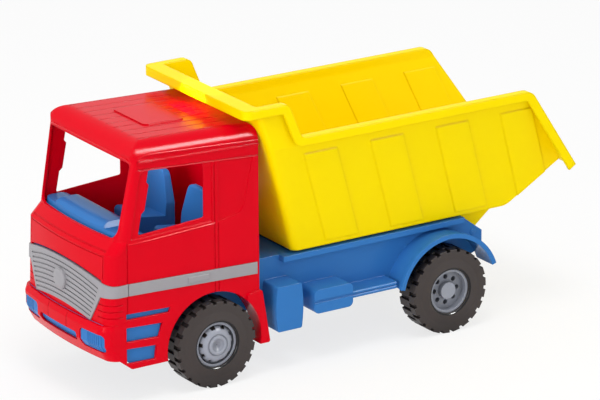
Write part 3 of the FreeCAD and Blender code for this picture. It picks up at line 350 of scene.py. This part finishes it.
def make_materials():
    """One finish for each of the record's material slots, one for the red trim, and one for the beads'
    near-black wall, painted with the shade of the groove round the rim.
    """
    return {
        "red_plastic": red("red_plastic", specular=0.06, soft_edge=0.8, round_roof=True),
        "red_trim": red("red_trim", specular=0.2, soft_edge=0.2),
        "blue_plastic": plastic("blue_plastic", blue_colour, roughness=0.25, specular=0.1),
        "yellow_plastic": plastic("yellow_plastic", yellow_colour, roughness=0.25, specular=0.035,
                                  shade=0.02, soft_edge=2.0),
        "silver_plastic": plastic("silver_plastic", silver_colour, roughness=0.35, specular=0.3),
        # Grey plastic and tyre rubber carry painted shade in their creases
        "grey_plastic": plastic("grey_plastic", grey_colour, roughness=0.35, specular=0.12,
                                soft_edge=0.3, crease_shade=0.6),
        "tyre": plastic("tyre_rubber", tyre_colour, roughness=0.45, specular=0.2, grain=0.15, crease_shade=0.9),
        "steel_rod": steel("steel_rod"),
        # Bead wall: painted shade of the groove round the rim, glossy
        "bead": plastic("tyre_bead", bead_shade_colour, roughness=0.15, specular=0.3, grain=0.02),
    }


def dress_nodes(finish):
    """Give every CAD node its finish."""
    for part in frame["record"]["subparts"]:
        piece = bpy.data.objects[part["node"]]
        piece.data.materials.clear()
        piece.data.materials.append(finish[part["material_slot"]])


def meshed(name, points, faces):
    """Mesh from points and faces."""
    mesh = bpy.data.meshes.new(name)
    mesh.from_pydata(points, [], faces)
    return mesh


def turned_piece(name, profiles, centre, side):
    """Smooth surface about an axle, from one profile of (radius, y) in millimetres for each step round."""
    points = []
    faces = []
    count = len(profiles[0])
    for step, profile in enumerate(profiles):
        angle = 2 * math.pi * step / len(profiles)
        for radius, y in profile:
            points.append((centre.x + radius * millimetre * math.cos(angle), side * y * millimetre,
                           centre.z + radius * millimetre * math.sin(angle)))
        here = step * count
        following = ((step + 1) % len(profiles)) * count
        for index in range(count - 1):
            face = (here + index, following + index, following + index + 1, here + index + 1)
            faces.append(face if side < 0 else face[::-1])
    mesh = meshed(name, points, faces)
    mesh.shade_smooth()
    return new_object(name, mesh)


def outer_face(node, side):
    """Distance in millimetres of a wheel part's outer face from the truck's middle."""
    low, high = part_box(node)
    return (high.y if side > 0 else -low.y) / millimetre


def dome_outline(face_y, notched):
    """Profile of the dome at one step round, drawn in where a notch is."""
    outline = []
    for radius, depth in dome_profile:
        drawn_in = notch_depth if notched and radius > notch_inner else 0.0
        outline.append((radius - drawn_in, face_y - depth))
    return outline


def make_dome(name, side, finish):
    """Domed front wheel disc with notches in its flank painted dark for their shade, a raised ring and a
    dimple.
    """
    face_y = outer_face("hub_front_" + name, side)
    notched = [(step * notch_count / dome_steps) % 1.0 < notch_share for step in range(dome_steps)]
    profiles = [dome_outline(face_y, notch) for notch in notched]
    dome = turned_piece("wheel_dome_" + name, profiles, wheel_centre("front"), side)
    dome.data.materials.append(finish["grey_plastic"])
    dome.data.materials.append(finish["tyre"])
    across = len(dome_profile) - 1
    flank = sum(1 for radius, depth in dome_profile if radius > notch_inner)
    # Painted shade: the notch faces in the flank take the dark tyre rubber
    for step, notch in enumerate(notched):
        for index in range(flank):
            dome.data.polygons[step * across + index].material_index = int(notch)
    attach(dome, "front_wheelset")


def make_bead(end, name, side, finish):
    """Raised bead of one tyre round its rim, glossy and painted near-black on the wall that faces the rim,
    for the shade in the groove there.
    """
    low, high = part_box("hub_" + end + "_" + name)
    rim = (high.x - low.x) / 2 / millimetre
    face_y = outer_face("tyre_" + end + "_" + name, side)
    profile = [(rim + reach, face_y + height) for reach, height in bead_profile]
    profiles = [profile] * bead_steps
    bead = turned_piece("tyre_bead_" + end + "_" + name, profiles, wheel_centre(end), side)
    bead.data.materials.append(finish["tyre"])
    bead.data.materials.append(finish["bead"])
    across = len(profile) - 1
    for face in bead.data.polygons:
        face.material_index = int(face.index % across >= across - bead_shaded_faces)
    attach(bead, end + "_wheelset")


def make_wheel_trim(finish):
    """Front wheel domes and the beads of all four tyres."""
    for name, side in sides:
        make_dome(name, side, finish)
        for end in ("front", "rear"):
            make_bead(end, name, side, finish)


def add_piece(name, mesh, material, body):
    """Piece of the scene that rides on a body."""
    mesh.materials.clear()
    mesh.materials.append(material)
    piece = new_object(name, mesh)
    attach(piece, body)


def make_moulding(name, line, finish):
    """Round moulding along a line on both sides of the cab."""
    axle_x = wheel_centre("front").x
    curve = bpy.data.curves.new(name, "CURVE")
    curve.dimensions = "3D"
    curve.bevel_depth = moulding_radius * millimetre
    curve.bevel_resolution = moulding_steps
    curve.use_fill_caps = True
    for _, side in sides:
        spline = curve.splines.new("POLY")
        spline.points.add(len(line) - 1)
        for place, (distance, out, height) in zip(spline.points, line):
            place.co = (axle_x + distance * millimetre, side * out * millimetre, height * millimetre, 1.0)
    bent_rod = bpy.data.objects.new(name + "_curve", curve)
    mesh = bpy.data.meshes.new_from_object(bent_rod)
    bpy.data.objects.remove(bent_rod)
    mesh.shade_smooth()
    add_piece(name, mesh, finish["red_trim"], "truck_frame")


def make_cab_trim(finish):
    """Gutters, roof lip and waist mouldings of the cab."""
    make_moulding("gutter_mouldings", gutter_line, finish)
    make_moulding("roof_lip_moulding", lip_line, finish)
    make_moulding("waist_mouldings", waist_line, finish)


def make_badge(finish):
    """Plain domed disc on the grille."""
    low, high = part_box("grille_band")
    bpy.ops.mesh.primitive_uv_sphere_add(segments=badge_steps_round, ring_count=badge_steps_across)
    badge = bpy.context.object
    badge.name = "badge_dome"
    badge.data.transform(Matrix.Diagonal((badge_rise, badge_radius, badge_radius, 1.0)))
    badge.data.transform(Matrix.Translation((high.x, 0, badge_z)))
    badge.data.shade_smooth()
    badge.data.materials.append(finish["silver_plastic"])
    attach(badge, "truck_frame")


def make_pin_caps(finish):
    """Blue caps over the ends of the bed's hinge pin."""
    low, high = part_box("bed_hinge_pin")
    end_y = high.y / millimetre
    profile = [(radius, end_y + past) for radius, past in pin_cap_profile]
    for name, side in sides:
        cap = turned_piece("pin_cap_" + name, [profile] * pin_cap_steps, (low + high) / 2, side)
        cap.data.materials.append(finish["blue_plastic"])
        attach(cap, "truck_frame")


def inner_wall_y(height):
    """Inner face of the bed's leaning side wall at one height, in millimetres."""
    return bed_floor_half + (height - bed_floor_z) * bed_wall_slope - bed_wall


def band_corners(front, band_low):
    """Corners of one slanted band as (x, z) in millimetres, round from its upper front one."""
    drop = (band_high - band_low) * band_lean
    return [
        (front, band_high),
        (front - band_width, band_high),
        (front - band_width - drop, band_low),
        (front - drop, band_low),
    ]


def add_band(points, faces, side, corners):
    """Add one raised band to a mesh: its face and the edges that go down into the wall."""
    first = len(points)
    count = len(corners)
    for lift in (-band_root, band_height):
        for x, z in corners:
            y = side * (inner_wall_y(z) - lift)
            points.append((x * millimetre, y * millimetre, z * millimetre))
    band = [[first + count + index for index in range(count)]]
    for index in range(count):
        following = (index + 1) % count
        band.append([first + index, first + following, first + count + following, first + count + index])
    faces.extend(face if side > 0 else face[::-1] for face in band)


def make_inner_bands(finish):
    """Shallow bands on the inside of the bed's side walls."""
    points = []
    faces = []
    for _, side in sides:
        for front, band_low in band_places:
            add_band(points, faces, side, band_corners(front, band_low))
    mesh = meshed("inner_bands", points, faces)
    add_piece("inner_bands", mesh, finish["yellow_plastic"], "tipping_bed")


def shown_rays(tree):
    """Output that is 1 for the rays that see the background and 0 for those that only light the object."""
    path = tree.nodes.new("ShaderNodeLightPath")
    shown = path.outputs["Is Camera Ray"]
    for ray in ("Is Glossy Ray", "Is Transmission Ray"):
        either = tree.nodes.new("ShaderNodeMath")
        either.operation = "MAXIMUM"
        tree.links.new(shown, either.inputs[0])
        tree.links.new(path.outputs[ray], either.inputs[1])
        shown = either.outputs[0]
    return shown


def blended(tree, share, low, high):
    """Shader that goes from one shader to another as the share goes from 0 to 1."""
    mix = tree.nodes.new("ShaderNodeMixShader")
    tree.links.new(share, mix.inputs[0])
    tree.links.new(low, mix.inputs[1])
    tree.links.new(high, mix.inputs[2])
    return mix.outputs[0]


def make_floor():
    """Pale floor that keeps a faint shadow."""
    bpy.ops.mesh.primitive_plane_add(size=floor_size, location=(0, 0, 0))
    floor = bpy.context.object
    floor.name = "floor"
    material = bpy.data.materials.new("floor")
    material.use_nodes = True
    tree = material.node_tree
    tree.nodes.clear()
    out = tree.nodes.new("ShaderNodeOutputMaterial")
    shadowed = tree.nodes.new("ShaderNodeBsdfDiffuse")
    shadowed.inputs["Color"].default_value = floor_colour
    plain = tree.nodes.new("ShaderNodeEmission")
    plain.inputs["Color"].default_value = white
    plain.inputs["Strength"].default_value = surround_seen
    share = carried(tree, shown_rays(tree), 0.0, floor_whiteness)
    tree.links.new(blended(tree, share, shadowed.outputs[0], plain.outputs[0]), out.inputs[0])
    floor.data.materials.append(material)


def surround(tree, strength):
    """Plain white background of one strength."""
    background = tree.nodes.new("ShaderNodeBackground")
    background.inputs["Color"].default_value = white
    background.inputs["Strength"].default_value = strength
    return background.outputs[0]


def make_world():
    """White surround that is brighter to the eye than as a light."""
    world = bpy.data.worlds.new("studio")
    scene.world = world
    world.use_nodes = True
    tree = world.node_tree
    tree.nodes.clear()
    out = tree.nodes.new("ShaderNodeOutputWorld")
    lit = surround(tree, surround_lit)
    seen = surround(tree, surround_seen)
    tree.links.new(blended(tree, shown_rays(tree), lit, seen), out.inputs[0])


def area_light(name, place, aim, size, watts):
    """Soft box aimed at a point."""
    data = bpy.data.lights.new(name, "AREA")
    data.shape = "RECTANGLE"
    data.size, data.size_y = size
    data.energy = watts
    light = new_object(name, data)
    light.location = place
    light.rotation_mode = "QUATERNION"
    light.rotation_quaternion = (Vector(aim) - Vector(place)).to_track_quat("-Z", "Y")
    return light


def make_lights():
    """Two soft boxes, one that only draws highlights and a faint one for the inside of the cab."""
    area_light("top", (0.2, 0.4, 1.6), aim=(0, 0, 0.1), size=(0.6, 0.6), watts=8.5)
    area_light("front", (1.5, 0.6, 0.4), aim=(0, 0, 0.1), size=(0.7, 0.7), watts=7.0)
    glint = area_light("glint", (-0.67, 1.0, 0.95), aim=(0.1, 0, 0.15), size=(0.4, 0.4), watts=50.0)
    glint.visible_camera = False
    glint.visible_diffuse = False
    cabin = area_light("cabin", (0.105, 0, 0.178), aim=(0.07, 0, 0.15), size=(0.03, 0.08), watts=0.03)
    cabin.visible_camera = False
    cabin.visible_glossy = False


make_camera()
make_floor()
make_world()
make_lights()
materials = make_materials()
dress_nodes(materials)
make_wheel_trim(materials)
make_cab_trim(materials)
make_badge(materials)
make_pin_caps(materials)
make_inner_bands(materials)
scene.view_settings.view_transform = "Standard"
